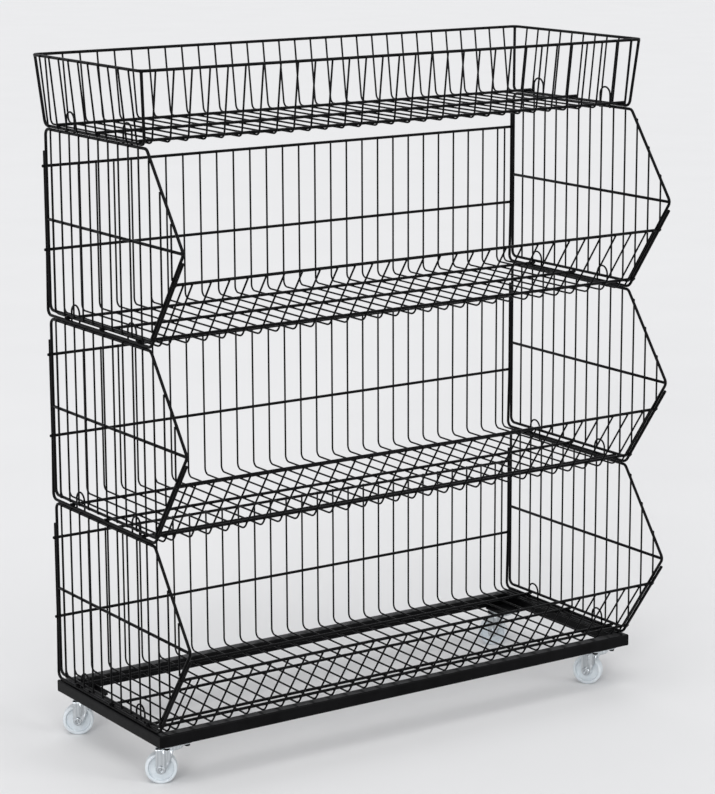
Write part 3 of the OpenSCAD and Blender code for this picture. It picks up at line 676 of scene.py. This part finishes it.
def fork_leg(s, side):
    """A pressed leg: bent in at the top, narrow at the axle, with two upright ribs."""
    bend_z = LEG_TOP - LEG_BEND
    middle = LEG_IN + FORK_T / 2
    places = [(middle, z, 1.0, 0.0) for z in AXLE_Z - LEG_END * np.sin(np.linspace(1.45, 0, 12))]
    places += [(middle, z, 1.0, 0.0) for z in np.linspace(AXLE_Z, bend_z, 26)[1:]]
    bend_in = middle - (LEG_BEND - FORK_T / 2)
    for a in np.linspace(0, math.pi / 2, 7)[1:]:
        r = LEG_BEND - FORK_T / 2
        places.append((bend_in + r * math.cos(a), bend_z + r * math.sin(a), math.cos(a), math.sin(a)))
    v, z, nv, nz = places[-1]
    places.append((v - LEG_TAIL, z, nv, nz))
    edge = ((0.6, 0.0), (0.18, 0.22), (0.0, 0.7))
    loops = []
    for v, z, nv, nz in places:
        a, b = leg_back(z), leg_fore(z)
        u = np.linspace(a + edge[0][0], b - edge[0][0], 37)
        share = fade(bend_z - z, *RIB_TOP)
        above = fade(z, *RIB_FOOT)
        lift = share * (RIB_HIGH * rib(u, RIB_FORE, RIB_HALF) * above + RIB_HIGH * rib(u, RIB_BACK, RIB_HALF)
                        - rib(u, GROOVE_AT, GROOVE_HALF) * above)
        rows = []
        for sign, across, heights, end in ((1, u, lift, b), (-1, u[::-1], lift[::-1], a)):
            rows += [(p, h + sign * FORK_T / 2) for p, h in zip(across, heights)]
            h = heights[-1]
            rows += [(end - sign * p, h + sign * (FORK_T / 2 - q)) for p, q in edge[1:]]
            rows += [(end - sign * p, h - sign * (FORK_T / 2 - q)) for p, q in edge[:0:-1]]
        loops.append([(p, side * (v + h * nv), z + h * nz) for p, h in rows])
    s.skin(loops)


def fork(name, place):
    """A caster's fork: two legs and the turned cup with its groove for the balls."""
    s = Shape()
    for side in (-1, 1):
        fork_leg(s, side)
    low, high = FORK_Z - FORK_T, FORK_Z + CUP_H
    inner = CUP_R - CUP_WALL
    ball_r, ball_z = BALL_D / 2 + BALL_PLAY, FORK_Z + BALL_D / 2 - BALL_DIP
    reach = math.sqrt(ball_r ** 2 - (ball_z - FORK_Z) ** 2)
    groove = [(BALL_RING + p, ball_z - math.sqrt(ball_r ** 2 - p ** 2)) for p in np.linspace(reach, -reach, 7)]
    corners = [(PIN_BORE_R, low), (CUP_R, low), (CUP_R, high), (inner, high), (inner, FORK_Z), *groove,
               (PIN_BORE_R, FORK_Z)]
    radii = [0.2, 2.6, 0.6, 0.6, 1.5, *[0] * len(groove), 0.2]
    s.lathe((0, 0, 0), EZ, rounded(corners, radii, True, SOFT_STEP, 0.15), 56, ring=True)
    s.make(f"caster_{name}_pressed_fork", f"swivel_{name}", ZINC, "zinc", [f"caster_fork_{name}"],
           (place[0], place[1] + SHIFT_Y, 0), place[2], sharp=50)


def axle(name, place):
    """A caster's axle bolt, with a flat head that is hollow in the middle, and its nut."""
    face = LEG_IN + FORK_T + SEAM
    end = -face - NUT_T - 1
    s = Shape()
    # From the middle of the head out over its rim, back to the shank and along it to the nut's end
    corners = [(0.2, face + 1.9), (1.5, face + 1.9), (1.8, face + 0.3), (HOLLOW_D / 2 - 0.3, face + 0.3),
               (HOLLOW_D / 2, face + HEAD_T), (HEAD_D / 2 - 1.5, face + HEAD_T), (HEAD_D / 2, face),
               (AXLE_D / 2, face), (AXLE_D / 2, end), (0.2, end)]
    radii = [0, 0.5, 0.3, 0.3, 0.35, 0.9, 0.15, 0.1, 0.6, 0]
    profile = rounded(corners, radii, False, SOFT_STEP, 0.1)
    s.lathe((TRAIL, 0, AXLE_Z), EY, profile, 48)
    s.make(f"caster_{name}_axle_bolt", f"swivel_{name}", ZINC, "zinc", [f"caster_axle_{name}"],
           (place[0], place[1] + SHIFT_Y, 0), place[2], sharp=50)
    s = Shape()
    near = -face - SEAM
    r = NUT_D / 2
    bore = AXLE_D / 2 + SEAM
    corners = [(bore, near), (r - 0.5, near), (r, near - 0.45), (r, near - NUT_T + 0.45), (r - 0.5, near - NUT_T),
               (bore, near - NUT_T)]
    s.lathe((TRAIL, 0, AXLE_Z), EY, corners, 6, ring=True)
    s.make(f"caster_{name}_axle_nut", f"swivel_{name}", ZINC, "zinc", [f"axle_nut_{name}"],
           (place[0], place[1] + SHIFT_Y, 0), place[2], sharp=25)


def wheel(name, place):
    """A moulded wheel: hub, thin web and rim, all with rounded edges."""
    s = Shape()
    bore, half, r = AXLE_D / 2 + AXLE_PLAY, WHEEL_W / 2, WHEEL_D / 2
    rim_in = r - RIM_T
    near = [(bore, -HUB_HALF), (HUB_R, -HUB_HALF), (HUB_R + 0.5, -WEB_HALF), (rim_in - 0.5, -WEB_HALF),
            (rim_in + 0.3, -half), (r, -half)]
    corners = near + [(p, -q) for p, q in reversed(near)]
    radii = [0.3, 0.9, 1.6, 1.6, 0.8, 2.6, 2.6, 0.8, 1.6, 1.6, 0.9, 0.3]
    s.lathe((TRAIL, 0, AXLE_Z), EY, rounded(corners, radii, True, SOFT_STEP, 0.15), 96, ring=True)
    s.make(f"caster_{name}_moulded_wheel", f"wheel_{name}", MILKY, "clear_plastic", [f"caster_wheel_{name}"],
           (place[0], place[1] + SHIFT_Y, 0), place[2], sharp=50)


base_frame()
plates_and_screws()
for name, place in CASTERS.items():
    fork(name, place)
    axle(name, place)
    wheel(name, place)


# Stage, light and camera

def plain(name, colour, rough):
    """A dull material of nearly one colour."""
    material, tree, shader, where = nodes_of(name)
    tree.links.new(blend_colours(tree, noise(tree, where, 3, 2), colour, [c * 0.985 for c in colour]),
                   shader.inputs["Base Color"])
    shader.inputs["Roughness"].default_value = rough
    shader.inputs["Specular IOR Level"].default_value = 0.0
    return material


def stage():
    """A wide round floor, large enough to fill the view behind the rack."""
    rings = [0.0, 1.5, 4.0, 10.0, 25.0, 60.0]
    sides = 48
    points = [(0.0, 0.0, 0.0)]
    for r in rings[1:]:
        points += [(r * math.cos(a), r * math.sin(a), 0.0) for a in np.arange(sides) * 2 * math.pi / sides]
    faces = [(0, 1 + k, 1 + (k + 1) % sides) for k in range(sides)]
    for i in range(len(rings) - 2):
        a, b = 1 + i * sides, 1 + (i + 1) * sides
        faces += [(a + k, b + k, b + (k + 1) % sides, a + (k + 1) % sides) for k in range(sides)]
    mesh = bpy.data.meshes.new("floor")
    mesh.from_pydata(points, [], faces)
    floor = bpy.data.objects.new("floor", mesh)
    mesh.materials.append(plain("pale_floor", (0.80, 0.80, 0.80), 0.7))
    bpy.context.scene.collection.objects.link(floor)


def sun(name, way, wide, power):
    """Even light from the direction given, as soft as its width in degrees."""
    data = bpy.data.lights.new(name, "SUN")
    data.angle = math.radians(wide)
    data.energy = power
    light = bpy.data.objects.new(name, data)
    light.rotation_euler = Vector(way).to_track_quat("Z", "Y").to_euler()
    bpy.context.scene.collection.objects.link(light)


def studio():
    """Soft light from all round, seen directly or in metal as a backdrop as pale as the floor."""
    world = bpy.data.worlds.new("studio")
    world.use_nodes = True
    tree = world.node_tree
    light = tree.nodes["Background"]
    light.inputs["Color"].default_value = (0.95, 0.96, 1.0, 1)
    path = tree.nodes.new("ShaderNodeLightPath")
    seen = path.outputs["Is Camera Ray"]
    for kind in ("Is Glossy Ray", "Is Transmission Ray"):
        either = tree.nodes.new("ShaderNodeMath")
        either.operation = "MAXIMUM"
        tree.links.new(seen, either.inputs[0])
        tree.links.new(path.outputs[kind], either.inputs[1])
        seen = either.outputs[0]
    tree.links.new(spread(tree, seen, LIGHT, BACKDROP, (0, 1)), light.inputs["Strength"])
    bpy.context.scene.world = world


def camera():
    """The photograph's camera, fitted to points read from it."""
    data = bpy.data.cameras.new("camera")
    data.sensor_fit = "AUTO"
    data.sensor_width = SENSOR
    data.lens = CAMERA_F / LONG_SIDE * SENSOR
    data.clip_start, data.clip_end = 0.1, 60
    cam = bpy.data.objects.new("camera", data)
    cam.location = (CAMERA_AT[0] * MM, (CAMERA_AT[1] + SHIFT_Y) * MM, CAMERA_AT[2] * MM)
    cam.rotation_euler = Euler([math.radians(a) for a in CAMERA_TURN], "XYZ")
    bpy.context.scene.collection.objects.link(cam)
    bpy.context.scene.camera = cam


stage()
camera()
sun("overhead", (-0.25, -0.35, 1.0), 50, 1.5)
sun("key", (-0.8, -0.75, 0.42), 16, 0.8)
sun("fill", (0.55, -0.9, 0.4), 16, 0.4)
sun("back", (0.5, 0.8, 0.9), 40, 0.35)
studio()
bpy.context.scene.view_settings.view_transform = "Standard"
